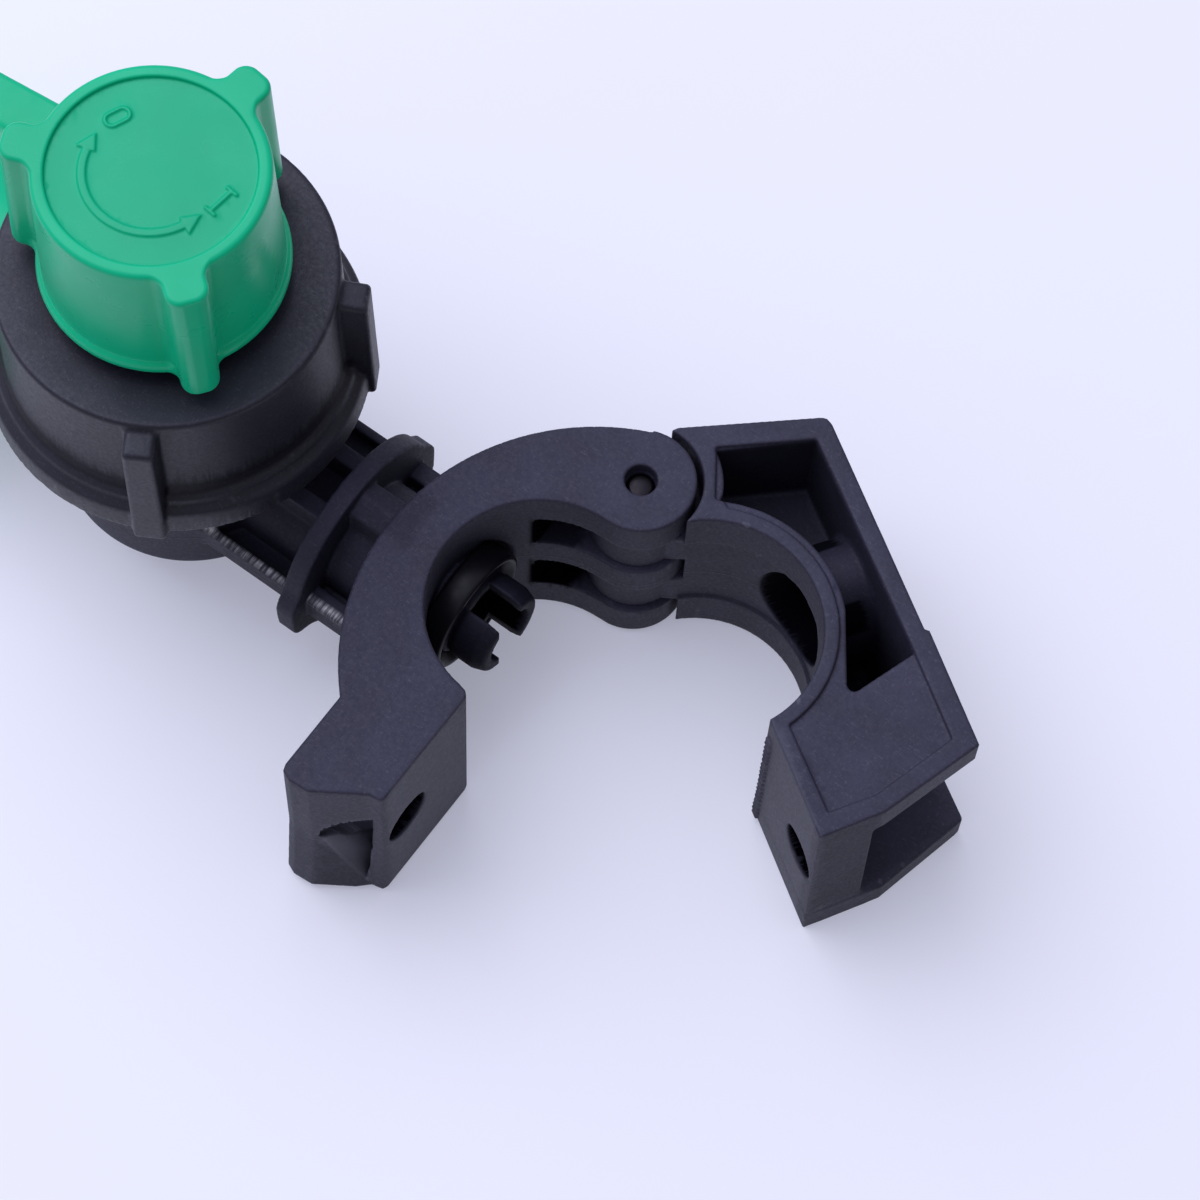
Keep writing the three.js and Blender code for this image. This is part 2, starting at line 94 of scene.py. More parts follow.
VALVE_X = -48.2                   # axis of the valve, parallel with Z
CHAMBER_R = 14.5
THREAD_R = 15.6                   # of the chamber, inside the ring nut
PASSAGE_R = 3.7                   # from the seat to the outlet
OUTLET_R = 11.2
NUT_BOTTOM = 14.5
NUT_TOP = 33.8
NUT_BAND_R = 20.5                 # the wider band at the nut's foot
LUG_ANGLES = (30, 120, 210, 300)
KNOB_BASE = 36.2
KNOB_TOP = 54.8
WING_ANGLES = (83, 203, 323)
DISH_R = 10.4                     # sunk disc on the knob, its depth and its marks' height
DISH_DEPTH = 0.45
MARK_HEIGHT = 0.22
CAP_RIM_X = -71.0                 # open end of the cap, over the outlet
CAP_FRONT_X = -94.0

CAMERA_PLACE = (90.07, -132.21, 395.37)
CAMERA_RIGHT = (0.80767, 0.58895, 0.02831)
CAMERA_BACK = (0.20774, -0.32916, 0.92114)
CAMERA_LENS = 119.69


# ------------------------------------------------------------------ distance fields

def union(a, b, r=0.0):
    """Two shapes joined with a fillet of radius r."""
    if not r:
        return np.minimum(a, b)
    return np.maximum(r, np.minimum(a, b)) - np.hypot(np.maximum(r - a, 0), np.maximum(r - b, 0))


def common(a, b, r=0.0):
    """What two shapes share, with edges rounded to radius r."""
    if not r:
        return np.maximum(a, b)
    return np.minimum(-r, np.maximum(a, b)) + np.hypot(np.maximum(r + a, 0), np.maximum(r + b, 0))


def cut(a, b, r=0.0):
    """Shape a without shape b, with edges rounded to radius r."""
    return common(a, -b, r)


def slab(v, low, high):
    """What lies between low and high along one coordinate."""
    return np.abs(v - (low + high) / 2) - (high - low) / 2


def disc(u, v, r, cu=0.0, cv=0.0):
    """A circle of radius r in two coordinates, about (cu, cv)."""
    return np.hypot(u - cu, v - cv) - r


def bar(u, v, cu, cv, hu, hv, r=0.0):
    """A rectangle in two coordinates, with half sizes hu and hv and corners of radius r."""
    a = np.abs(u - cu) - hu + r
    b = np.abs(v - cv) - hv + r
    return np.hypot(np.maximum(a, 0), np.maximum(b, 0)) + np.minimum(np.maximum(a, b), 0) - r


def capsule(u, v, start, end, r):
    """A line with round ends, in two coordinates."""
    du, dv = end[0] - start[0], end[1] - start[1]
    t = np.clip(((u - start[0]) * du + (v - start[1]) * dv) / (du * du + dv * dv), 0, 1)
    return np.hypot(u - start[0] - t * du, v - start[1] - t * dv) - r


def triangle(u, v, a, b, c):
    """Roughly the distance to a filled triangle."""
    sides = []
    area = (b[0] - a[0]) * (c[1] - a[1]) - (b[1] - a[1]) * (c[0] - a[0])
    turn = 1 if area > 0 else -1
    for (pu, pv), (qu, qv) in ((a, b), (b, c), (c, a)):
        length = math.hypot(qu - pu, qv - pv)
        sides.append(turn * ((qv - pv) * (u - pu) - (qu - pu) * (v - pv)) / length)
    return np.maximum(np.maximum(sides[0], sides[1]), sides[2])


def inside(*fields):
    """What all of the given shapes share."""
    return np.maximum.reduce(fields)


def arc(cx, cy, r, start, end, step=5):
    """Points along an arc, with angles in degrees and at most a step apart."""
    count = max(2, math.ceil(abs(end - start) / step))
    angles = np.radians(np.linspace(start, end, count + 1))
    return [(cx + r * math.cos(a), cy + r * math.sin(a)) for a in angles]


class Outline:
    """Signed distance to a closed outline, kept on a fine grid and read back by interpolation."""

    STEP = 0.12
    MARGIN = 3.0

    def __init__(self, points):
        self.points = np.array(points, float)
        self.low = self.points.min(0) - self.MARGIN
        size = self.points.max(0) + self.MARGIN - self.low
        self.shape = np.ceil(size / self.STEP).astype(int) + 1
        u = self.low[0] + np.arange(self.shape[0]) * self.STEP
        v = self.low[1] + np.arange(self.shape[1]) * self.STEP
        self.grid = self.exact(*np.meshgrid(u, v, indexing="ij")).astype(np.float32)

    def exact(self, u, v):
        nearest = np.full(u.shape, 1e9)
        within = np.zeros(u.shape, bool)
        for (au, av), (bu, bv) in zip(self.points, np.roll(self.points, -1, 0)):
            du, dv = bu - au, bv - av
            t = np.clip(((u - au) * du + (v - av) * dv) / (du * du + dv * dv + 1e-12), 0, 1)
            nearest = np.minimum(nearest, (u - au - t * du) ** 2 + (v - av - t * dv) ** 2)
            if av != bv:
                crosses = (av > v) != (bv > v)
                within ^= crosses & (u < au + (v - av) * du / dv)
        return np.where(within, -1, 1) * np.sqrt(nearest)

    def __call__(self, u, v):
        gu, gv = (u - self.low[0]) / self.STEP, (v - self.low[1]) / self.STEP
        cu, cv = np.clip(gu, 0, self.shape[0] - 1.001), np.clip(gv, 0, self.shape[1] - 1.001)
        beyond = np.hypot(gu - cu, gv - cv) * self.STEP
        iu, iv = cu.astype(np.int32), cv.astype(np.int32)
        fu, fv = cu - iu, cv - iv
        near = self.grid[iu, iv] * (1 - fv) + self.grid[iu, iv + 1] * fv
        far = self.grid[iu + 1, iv] * (1 - fv) + self.grid[iu + 1, iv + 1] * fv
        return near * (1 - fu) + far * fu + beyond


def prism(d2, z, low, high, r=0.3):
    """A flat outline's distance drawn out from low to high, with rounded edges."""
    return common(d2, slab(z, low, high), r)


# ------------------------------------------------------------------ surface from a field

BLOCK = 8                         # voxels along each side of a block
BATCH = 2000                      # blocks worked out at once
SLACK = 0.3                       # by which a rounded field may be off, in millimetres
PAD = 2.37                        # voxels of room below a box; no flat face falls on the grid


def sample(field, low, counts, step):
    """The field on a grid. Blocks far from the surface are only given their sign."""
    blocks = [math.ceil(n / BLOCK) for n in counts]
    centres = [low[i] + (np.arange(blocks[i]) * BLOCK + (BLOCK - 1) / 2) * step for i in range(3)]
    bx, by, bz = np.meshgrid(*centres, indexing="ij")
    coarse = field(bx.ravel(), by.ravel(), bz.ravel()).reshape(bx.shape)
    reach = BLOCK * step * 0.9 + SLACK
    values = np.repeat(np.repeat(np.repeat(np.sign(coarse), BLOCK, 0), BLOCK, 1), BLOCK, 2)
    values = values.astype(np.float32)
    active = np.argwhere(np.abs(coarse) < reach)
    inner = np.stack(np.meshgrid(*[np.arange(BLOCK)] * 3, indexing="ij"), -1).reshape(-1, 3)
    for start in range(0, len(active), BATCH):
        at = (active[start:start + BATCH, None] * BLOCK + inner[None]).reshape(-1, 3)
        place = low + at * step
        values[at[:, 0], at[:, 1], at[:, 2]] = field(place[:, 0], place[:, 1], place[:, 2])
    return values


CORNERS = np.array([(i, j, k) for i in (0, 1) for j in (0, 1) for k in (0, 1)])
EDGES = [(a, b) for a in range(8) for b in range(a + 1, 8)
         if np.abs(CORNERS[a] - CORNERS[b]).sum() == 1]


def surface(field, low, high, step):
    """Vertices and quads of the field's zero surface, by naive surface nets drawn onto the field."""
    step *= FINE
    low = np.array(low, float) - PAD * step
    counts = [math.ceil((high[i] + 2 * step - low[i]) / step) + 2 for i in range(3)]
    values = sample(field, low, counts, step)
    solid = values < 0
    cells = np.array(values.shape) - 1
    filled = np.zeros(cells, np.int8)
    for i, j, k in CORNERS:
        filled += solid[i:i + cells[0], j:j + cells[1], k:k + cells[2]]
    at = np.argwhere((filled > 0) & (filled < 8))
    corner = np.stack([values[tuple((at + c).T)] for c in CORNERS], 1)
    total = np.zeros((len(at), 3))
    hits = np.zeros(len(at))
    for a, b in EDGES:
        crossed = (corner[:, a] < 0) != (corner[:, b] < 0)
        t = corner[:, a] / np.where(crossed, corner[:, a] - corner[:, b], 1)
        total += np.where(crossed[:, None], CORNERS[a] + t[:, None] * (CORNERS[b] - CORNERS[a]), 0)
        hits += crossed
    points = low + (at + total / hits[:, None]) * step
    index = np.full(cells, -1, np.int32)
    index[tuple(at.T)] = np.arange(len(at))
    faces = []
    for axis in range(3):
        u, v = (axis + 1) % 3, (axis + 2) % 3
        here = solid[tuple(slice(0, -1) if i == axis else slice(1, -1) for i in range(3))]
        there = solid[tuple(slice(1, None) if i == axis else slice(1, -1) for i in range(3))]
        edge = np.argwhere(here != there)
        leaving = here[tuple(edge.T)]
        base = edge.copy()
        base[:, u] += 1
        base[:, v] += 1
        around = []
        for du, dv in ((-1, -1), (0, -1), (0, 0), (-1, 0)):
            cell = base.copy()
            cell[:, u] += du
            cell[:, v] += dv
            around.append(index[tuple(cell.T)])
        quad = np.stack(around, 1)
        quad[~leaving] = quad[~leaving][:, ::-1]
        faces.append(quad)
    return settle(field, points, step), np.concatenate(faces)


def settle(field, points, step):
    """Moves points onto the zero surface along the field's slope, by at most half a voxel."""
    reach = 0.04
    for _ in range(2):
        here = field(*points.T)
        slope = np.stack([field(*(points + reach * axis).T) - here for axis in np.eye(3)], 1) / reach
        length = np.maximum((slope ** 2).sum(1), 0.3)
        move = -here[:, None] * slope / length[:, None]
        far = np.maximum(np.abs(move).max(1) / (0.5 * step), 1)
        points = points + move / far[:, None]
    return points


def swing(points, degrees):
    """Points turned about the hinge."""
    a = math.radians(degrees)
    x, y = points[:, 0] - HINGE[0], points[:, 1] - HINGE[1]
    return np.stack([HINGE[0] + x * math.cos(a) - y * math.sin(a),
                     HINGE[1] + x * math.sin(a) + y * math.cos(a), points[:, 2]], 1)


def to_row(points, turned=False):
    """Moulding axes in millimetres to the row frame in metres. The hinged jaw's are turned open."""
    points = np.array(points, float)
    if turned:
        points = swing(points, OPEN_ANGLE)
    return (points + np.array(SHIFT)) / 1000


def from_row(points, turned=False):
    """The row frame in metres back to moulding axes in millimetres."""
    points = points * 1000 - np.array(SHIFT)
    return swing(points, -OPEN_ANGLE) if turned else points


def mesh_piece(name, points, faces, body, node=None, turned=False):
    """A smooth mesh that rides on a body and stands for a CAD node."""
    mesh = bpy.data.meshes.new(name)
    mesh.from_pydata(to_row(points, turned).tolist(), [], [list(map(int, f)) for f in faces])
    mesh.validate()
    mesh.polygons.foreach_set("use_smooth", [True] * len(mesh.polygons))
    piece = bpy.data.objects.new(name, mesh)
    bpy.context.scene.collection.objects.link(piece)
    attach(piece, body)
    if node:
        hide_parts(node)
    return piece


THIN_RATIO = 0.3                  # share of a moulding's triangles that is kept
MARK_BORDER = 0.3                 # width over which painted shade or painted light fades in, in millimetres


def thin(piece, ratio):
    """Fewer triangles where the surface is flat."""
    modifier = piece.modifiers.new("thin", "DECIMATE")
    modifier.ratio = ratio
    graph = bpy.context.evaluated_depsgraph_get()
    mesh = bpy.data.meshes.new_from_object(piece.evaluated_get(graph))
    piece.modifiers.clear()
    piece.data = mesh


def mark(piece, name, places, turned):
    """Stores how much painted shade or painted light each point gets, for the material. Places are
    (field, strength).
    """
    mesh = piece.data
    points = np.empty(len(mesh.vertices) * 3)
    mesh.vertices.foreach_get("co", points)
    x, y, z = from_row(points.reshape(-1, 3), turned).T
    amount = np.zeros(len(x))
    for field, strength in places:
        amount = np.maximum(amount, strength * np.clip(-field(x, y, z) / MARK_BORDER, 0, 1))
    layer = mesh.attributes.new(name, "FLOAT", "POINT")
    layer.data.foreach_set("value", amount.astype(np.float32))


def moulded(name, field, low, high, step, body, node, turned=False, painted_shades=(), painted_lights=()):
    """A moulding made from its distance field, sampled at a step in millimetres between two corners."""
    points, faces = surface(field, low, high, step)
    piece = mesh_piece(name, points, faces, body, node, turned)
    thin(piece, THIN_RATIO)
    # painted shade darkens these points and painted light brightens them
    mark(piece, "painted_shade", painted_shades, turned)
    mark(piece, "painted_light", painted_lights, turned)
    return piece


# ------------------------------------------------------------------ fixed jaw, neck and chamber

def fixed_jaw_outline():
    """The jaw's back, knuckle, half bore, rounded mating edge and bolt flange, seen along the pipe."""
    back = arc(7.93, -1.39, 26.92, 224.9, 114, 3)
    knuckle = arc(HINGE[0], HINGE[1], KNUCKLE_R, 113, -81)
    bore = arc(BORE_X, 0, BORE_R, 92, 262, 3)
    mating = arc(BORE_X - 1.1, -13.1, 1.1, 90, 0, 30)
    flange = [(BORE_X, -26.6), (-0.9, -27), (-2.2, -27.2), (-7.4, -30.6), (-9.7, -30.8),
              (-10.85, -30.3), (-11.1, -29.6)]
    return Outline(back + knuckle + bore + mating + flange)


def finger_pocket_outline():
    """Room for a finger of the hinged jaw as it swings."""
    round_end = arc(HINGE[0], HINGE[1], KNUCKLE_R + 0.5, 78, -100)
    return Outline(round_end + [(-8, 8), (-8, 13.2), (-6.4, 14.6)])


def body_field():
    """The one moulding: fixed jaw, ribbed neck with its collar, spigot, chamber and outlet."""
    jaw = fixed_jaw_outline()
    pocket = finger_pocket_outline()
    lip = (-6.9, -30.35, 0.3)             # a point on the slanting floor under the nut pocket
    lip_normal = (0.949, -0.135, 0.282)

    def fixed_jaw(x, y, z):
        lean = np.clip((-26 - y) / 3, 0, 1) * np.maximum(-1 - z, 0) * 0.08
        d = prism(jaw(x, y + lean), z, -HALF, HALF, 0.25)
        pocket_d = np.minimum(pocket(x, y), disc(x, y, KNUCKLE_R + 0.5, *HINGE))
        layers = slab(np.abs(z), FINGER_Z - 3, FINGER_Z + 3)
        d = cut(d, common(pocket_d, layers, 0.15), 0.12)
        bolt = disc(y, z, BOLT_HOLE_R, BOLT_Y, 0)
        d = cut(d, common(bolt, slab(x, -20, 3)), 0.25)
        taper = np.clip(-z / 2, 0, 1) * np.clip((x + 9) / 2, 0, 1) * np.clip((-23 - y) / 3, 0, 1)
        nut = common(disc(y, z, NUT_POCKET_R - 1.7 * taper, BOLT_Y, 0), slab(x, -30, -2.3), 0.2)
        slope = sum((at - low) * part for at, low, part in zip((x, y, z), lip, lip_normal))
        gouge = common(triangle(x, z, (-6.9, 0.3), (-2.0, 6.0), (-2.7, -11.6)), -slope, 0.3)
        gouge = common(gouge, y + 24)
        d = cut(d, np.minimum(nut, gouge), 0.15)
        pin = common(disc(x, y, 1.75, *HINGE), slab(z, 11.9, 30))
        pin = np.minimum(pin, common(disc(x, y, 1.6, *HINGE), slab(z, -12, 30)))
        d = cut(d, pin, 0.15)
        seal_seat = common(disc(y, z, SEAL_SEAT_R), slab(x, SEAL_SEAT_X, 2))
        return cut(d, seal_seat, 0.2)

    def neck(x, y, z):
        far = np.abs(y)
        d = common(disc(y, z, NECK_R), slab(x, -40, -14.5))
        root = disc(y, z, 9.2 + np.clip((x + 18.6) * 1.2, -3, 2))
        d = union(d, common(root, slab(x, -18.8, -14.5), 0.6), 0.8)
        walls = common(slab(far, 2.3, 4.3), slab(z, -8.7, 8.7), 0.15)
        d = union(d, common(walls, slab(x, -38, -25)), 0.3)
        pocket = common(far - 2.2, common(slab(np.abs(z), 5.2, 20), slab(x, -37.5, -26.9)))
        d = cut(d, pocket, 0.15)
        roof = common(far - 2.3, np.abs(z) + far * 0.42 - 10.7, 0.15)
        roof = common(roof, slab(x, -25, -15.6), 0.2)
        d = union(d, roof, 0.3)
        ear = bar(y, z + 1.6, 0, 0, 12.4, 3.4, 1.6)
        collar = common(union(disc(y, z, COLLAR_R), ear, 2.0), slab(x, *COLLAR_X), 0.22)
        d = union(d, collar, 0.25)
        rail = common(bar(far, z, 9.75, -0.8, 0.55, 1.6, 0.15), slab(x, -40, -25))
        web = common(bar(y, z, 0, -1.7, 9.6, 0.7), slab(x, -38, -17))
        thick = common(bar(far, z, 9.15, -0.55, 1.15, 1.85, 0.3), slab(x, -25, -15), 0.2)
        d = union(d, np.minimum(np.minimum(rail, thick), web), 0.25)
        return d

    def spigot(x, y, z):
        cone = disc(y, z, SPIGOT_R + np.clip((-4.6 - x) * 0.35, 0, 0.45) * np.clip(9.4 + x, 0, 1))
        d = common(cone, slab(x, -14, -4.35), 0.4)
        step = common(disc(y, z, 5.5), slab(x, -14, -9.2), 0.5)
        return union(d, step, 0.3)

    def chamber(x, y, z):
        across = disc(x, y, CHAMBER_R, VALVE_X, 0)
        d = common(across, slab(z, -9, 16), 2.4)
        thread = common(disc(x, y, THREAD_R, VALVE_X, 0), slab(z, 14.6, 20), 0.3)
        d = union(d, thread, 0.2)
        outlet = common(disc(y, z, OUTLET_R), slab(x, -81.8, VALVE_X), 0.3)
        d = union(d, outlet, 1.2)
        lugs = common(disc(y, z, 12.6), slab(x, -78, -75), 0.3)
        lugs = common(lugs, slab(y, -4.5, 4.5), 0.3)
        return union(d, lugs, 0.3)

    def passages(x, y, z):
        """The liquid's way through, and the notches across the spigot's tip."""
        inlet = common(disc(y, z, INLET_BORE_R), slab(x, -42, 2))
        slot = common(np.abs(y) - 1.85, slab(x, -8.6, 0))
        ring = common(-disc(x, y, 5.6, VALVE_X, 0), disc(x, y, 13, VALVE_X, 0), 0.3)
        ring = common(ring, slab(z, 3.6, 30), 0.5)
        middle = common(disc(x, y, PASSAGE_R, VALVE_X, 0), slab(z, -3, 30))
        down = common(disc(y, z, PASSAGE_R), slab(x, -62, VALVE_X + 2))
        outlet = common(disc(y, z, 6), slab(x, -90, -60.5), 0.3)
        d = np.minimum(np.minimum(inlet, ring), np.minimum(middle, down))
        return np.minimum(d, outlet), slot

    def field(x, y, z):
        d = fixed_jaw(x, y, z)
        d = union(d, neck(x, y, z), 0.7)
        d = union(d, chamber(x, y, z), 0.5)
        d = union(d, spigot(x, y, z), 0.25)
        bores, slot = passages(x, y, z)
        d = cut(d, bores, 0.25)
        return cut(d, common(slot, slab(z, -8, 8)), 0.2)

    return field


# ------------------------------------------------------------------ hinged jaw, drawn shut

def jaw_field():
    """The hinged jaw: side outline, thicker foot, window, sunk side faces and hinge fingers."""
    outline = Outline(
        arc(0, 0, BORE_R, -80, 80, 3) + arc(HINGE[0], HINGE[1], 6.65, -64, 40)
        + [(4.6, 22.28), (5.2, 22.33)] + [(20.0, 18.25), (20.5, 17.9), (20.74, 17.1)]
        + [(20.97, -8), (21.4, -8.3), (21.35, -21.85), (9.5, -25.3), (2.12, -25.6)])
    foot = Outline([(2.12, -12.5), (2.1, -26.2), (4, -26.35), (11, -26.1), (21.6, -22.3)]
                   + arc(21.7, -21.7, 0.5, 270, 360, 30) + [(22.0, -14), (21.35, -12)])
    window = Outline(
        arc(0, 0, RING_R, -12, 64, 3) + arc(HINGE[0], HINGE[1], 8.75, -30, 4)
        + [(18.45, 16.0), (18.9, -10.06)] + arc(11.85, -11.1, 0.8, 270, 170, 30))
    recess = Outline(
        arc(0, 0, 13.6, -74, 60, 3) + arc(0, 0, RING_R, 63, 66) + [(8.2, 18.8), (18.45, 16),
        (18.95, -10.06), (18.95, -20.25), (9.35, -23.2), (3.95, -23.3)])
    finger = Outline(
        arc(HINGE[0], HINGE[1], 5.3, 62, 282)
        + [(2.9, 11.78), (5.4, 11.7), (7.1, 14.6), (6.9, 18), (5.4, 20.4)])

    def field(x, y, z):
        lean = np.clip((-20 - y) / 5, 0, 1) * (HALF - z) * 0.03
        d = prism(outline(x, y + lean), z, -HALF, HALF, 0.25)
        d = union(d, prism(foot(x, y), z, -HALF, -9.35, 0.4), 0.15)
        through = prism(window(x, y), z, -30, 30)
        web = slab(z, -1.2, 0.75)
        socket_outer = (np.sqrt((z / 9.3) ** 2 + ((y - SOCKET_Y) / 6.4) ** 2) - 1) * 6.6
        socket = common(socket_outer, slab(x, 8, 20))
        kept = np.minimum(common(web, slab(y, 8.6, 30)), socket)
        kept = np.minimum(kept, common(slab(z, -30, -9.3), slab(y, -30, 1)))
        d = cut(d, common(through, -kept, 0.5), 0.4)
        layers = slab(np.abs(z), FINGER_Z - 2.8, FINGER_Z + 2.8)
        d = union(d, common(finger(x, y), layers, 0.3), 0.3)
        ragged = 0.1 * np.sin(z * 5.1) + 0.07 * np.sin(z * 11.3 + 1)
        flash = common(bar(x, y, JAW_FACE_X, -12.7, 0.3, 0.5) + ragged, slab(z, -12.8, 9.5), 0.1)
        d = union(d, flash, 0.1)
        pocket = common(slab(x, JAW_WALL_X, 40), slab(y, -50, -13.4), 1.2)
        pocket = common(pocket, slab(z, -9.3, 9.3), 0.8)
        d = cut(d, pocket, 0.4)
        d = cut(d, common(disc(y, z, JAW_HOLE_R, JAW_BOLT_Y, 0), slab(x, 0, 12)), 0.2)
        hollow = (np.sqrt((z / 7.45) ** 2 + ((y - SOCKET_Y) / 5.2) ** 2) - 1) * 5.4
        d = cut(d, common(hollow, slab(x, 4, 17.5), 0.4), 0.35)
        band = common(disc(x, y, BORE_R + 0.35), slab(z, -7.3, 7.3), 0.1)
        d = cut(d, band, 0.12)
        d = cut(d, common(disc(x, y, 1.56, *HINGE), slab(z, -20, 20)))
        sunk = common(recess(x, y), -slab(z, -HALF + 0.4, HALF - 0.4), 0.12)
        return cut(d, sunk, 0.12)

    return field


# ------------------------------------------------------------------ nut, knob and cap

def polar(x, y, angle):
    """Coordinates along and across a direction out from the valve's axis."""
    a = math.radians(angle)
    u, v = x - VALVE_X, y
    return u * math.cos(a) + v * math.sin(a), -u * math.sin(a) + v * math.cos(a)


def nut_field():
    """The ring nut: a wall with a wider band at its foot, and four lugs that lean inwards."""
    wall = Outline([(10.2, NUT_BOTTOM), (NUT_BAND_R, NUT_BOTTOM), (20.35, 17.55)]
                   + arc(19.75, 17.6, 0.55, 0, 70)
                   + [(19.35, 18.6), (19.15, 19.2), (18.5, 19.7), (18.2, 20.6), (17.8, 33.2)]
                   + arc(17.3, 33.3, 0.5, 0, 90, 30) + [(10.2, NUT_TOP)])

    def field(x, y, z):
        r = np.hypot(x - VALVE_X, y)
        d = wall(r, z)
        for angle in LUG_ANGLES:
            u, v = polar(x, y, angle)
            outer = u - 20.75 - (32.0 - z) * 0.026
            across = np.abs(v) - 1.65 - (32 - z) * 0.006
            top = z - 33.0 + np.maximum(u - 17.8, 0) * 0.12
            lug = common(common(outer, across, 0.5), common(top, 13.7 - z, 0.5), 0.55)
            lug = common(lug, 17.2 - u)
            d = union(d, lug, 0.45)
        thread = common(r - 15.9, slab(z, 0, 31), 0.3)
        return cut(d, thread, 0.2)

    return field


def knob_marks(x, y):
    """Raised strokes on the knob's disc: nought, one and the double-headed arc between them."""
    u, v = x - VALVE_X, y
    r = np.hypot(u, v)
    angle = np.degrees(np.arctan2(v, u)) % 360
    a, b = polar(x, y, 157)
    nought = np.abs(bar(a, b, 6.9, 0, 0.72, 1.3, 0.7)) - 0.17
    start, end = (-40.93, -0.05), (-40.59, 2.94)
    one = capsule(x, y, start, end, 0.2)
    along = Vector(end) - Vector(start)
    side = Vector((-along.y, along.x)).normalized() * 0.6
    for foot in (start, end):
        tip = Vector(foot)
        one = np.minimum(one, capsule(x, y, tuple(tip - side), tuple(tip + side), 0.17))
    first, last = 196, 336
    off = np.maximum(np.maximum(first - angle, angle - last), 0)
    sweep = np.hypot(r - 6.75, np.radians(off) * 6.75) - 0.42
    d = np.minimum(np.minimum(nought, one), sweep)
    for at, turn in ((first, -1), (last, 1)):
        base = math.radians(at)
        point = math.radians(at + turn * 17)
        tip = (6.9 * math.cos(point), 6.9 * math.sin(point))
        wing = [((6.9 + s) * math.cos(base), (6.9 + s) * math.sin(base)) for s in (1.05, -1.05)]
        d = np.minimum(d, triangle(u, v, tip, *wing))
    return d


def knob_field():
    """The knob: a tapered cup with a foot, three wings, and marks in the sunk disc on top."""
    cup = Outline([(-4, KNOB_BASE), (12.5, KNOB_BASE)]
                  + arc(12.45, KNOB_BASE + 0.5, 0.5, 270, 360, 30)
                  + [(12.95, 37.1), (12.75, 37.6), (12.4, 37.9), (11.85, 54.2)]
                  + arc(11.25, 54.2, 0.6, 0, 90, 15) + [(-4, KNOB_TOP)])
    hollow = Outline([(4.6, 30), (11.2, 30), (10.5, 52), (4.6, 52)])

    def field(x, y, z):
        r = np.hypot(x - VALVE_X, y)
        d = cup(r, z)
        height = KNOB_TOP - z
        for angle in WING_ANGLES:
            u, v = polar(x, y, angle)
            outer = u - 15.1 - height * 0.04
            wing = common(outer, np.abs(v) - 2.2 + height * 0.012, 1.6)
            wing = common(wing, slab(z, KNOB_BASE + 0.05, KNOB_TOP), 0.5)
            wing = common(wing, 9 - u)
            d = union(d, wing, 1.1)
        d = np.maximum(d, z - KNOB_TOP)
        dish_z = KNOB_TOP - DISH_DEPTH
        dish = common(r - DISH_R, dish_z - z)
        d = cut(d, dish, 0.25)
        marks = common(knob_marks(x, y), slab(z, 53.5, dish_z + MARK_HEIGHT), 0.12)
        d = union(d, marks, 0.15)
        d = cut(d, hollow(r, z), 0.2)
        d = cut(d, common(r - 4.7, slab(z, 20, 46)), 0.2)
        return cut(d, common(r - 2.86, slab(z, 40, 51.6)))

    return field


def cap_field():
    """The bayonet cap: a tapered cup with two wings, and grooves and notches for the lugs."""
    shell = Outline([(-4, CAP_FRONT_X), (11.6, CAP_FRONT_X)]
                    + [(13.0, -93.7), (13.9, -92.7), (15.5, -72.6), (15.85, -71.9)]
                    + arc(15.4, -71.45, 0.45, 0, 90, 30) + [(-4, CAP_RIM_X)])
    blade = Outline([(-72.2, 14), (-93.4, 12), (-93.4, 19.0)] + arc(-92.3, 18.9, 1.1, 180, 95)
                    + [(-74.3, 21.8)] + arc(-73.4, 20.6, 1.2, 90, 0))

    def field(x, y, z):
        r = np.hypot(y, z)
        d = shell(r, x)
        wing = prism(blade(x, np.abs(y)), z, -2.3, 2.3, 0.7)
        d = union(d, wing, 1.0)
        bore = common(r - 11.5, slab(x, -90.9, -60), 0.4)
        groove = common(r - 13, slab(x, -83, -74.4), 0.3)
        notch = common(common(r - 13, np.abs(z) - 4.9, 0.3), slab(x, -80, -60))
        front = common(r - 6.4, slab(x, -100, -88))
        hole = np.minimum(np.minimum(bore, groove), np.minimum(notch, front))
        return cut(d, hole, 0.35)

    return field


# ------------------------------------------------------------------ turned pieces

def turned_piece(name, profile, body, node=None, axis="z", centre=(0, 0), sides=96):
    """A closed profile of (radius, place along the axis) spun round an axis parallel with Z or X."""
    points, faces = [], []
    count = len(profile)
    for i in range(sides):
        a = 2 * math.pi * i / sides
        for radius, along in profile:
            u, v = radius * math.cos(a), radius * math.sin(a)
            if axis == "z":
                points.append((centre[0] + u, centre[1] + v, along))
            else:
                points.append((along, centre[0] + u, centre[1] + v))
    for i in range(sides):
        for j in range(count):
            a, b = i * count + j, i * count + (j + 1) % count
            c, d = ((i + 1) % sides) * count + (j + 1) % count, ((i + 1) % sides) * count + j
            faces.append((a, d, c, b))
    piece = mesh_piece(name, points, faces, body, node)
    mesh = bmesh.new()
    mesh.from_mesh(piece.data)
    bmesh.ops.remove_doubles(mesh, verts=mesh.verts, dist=1e-7)
    bmesh.ops.dissolve_degenerate(mesh, edges=mesh.edges, dist=1e-7)
    bmesh.ops.recalc_face_normals(mesh, faces=mesh.faces)
    mesh.to_mesh(piece.data)
    mesh.free()
    return piece


# ------------------------------------------------------------------ materials

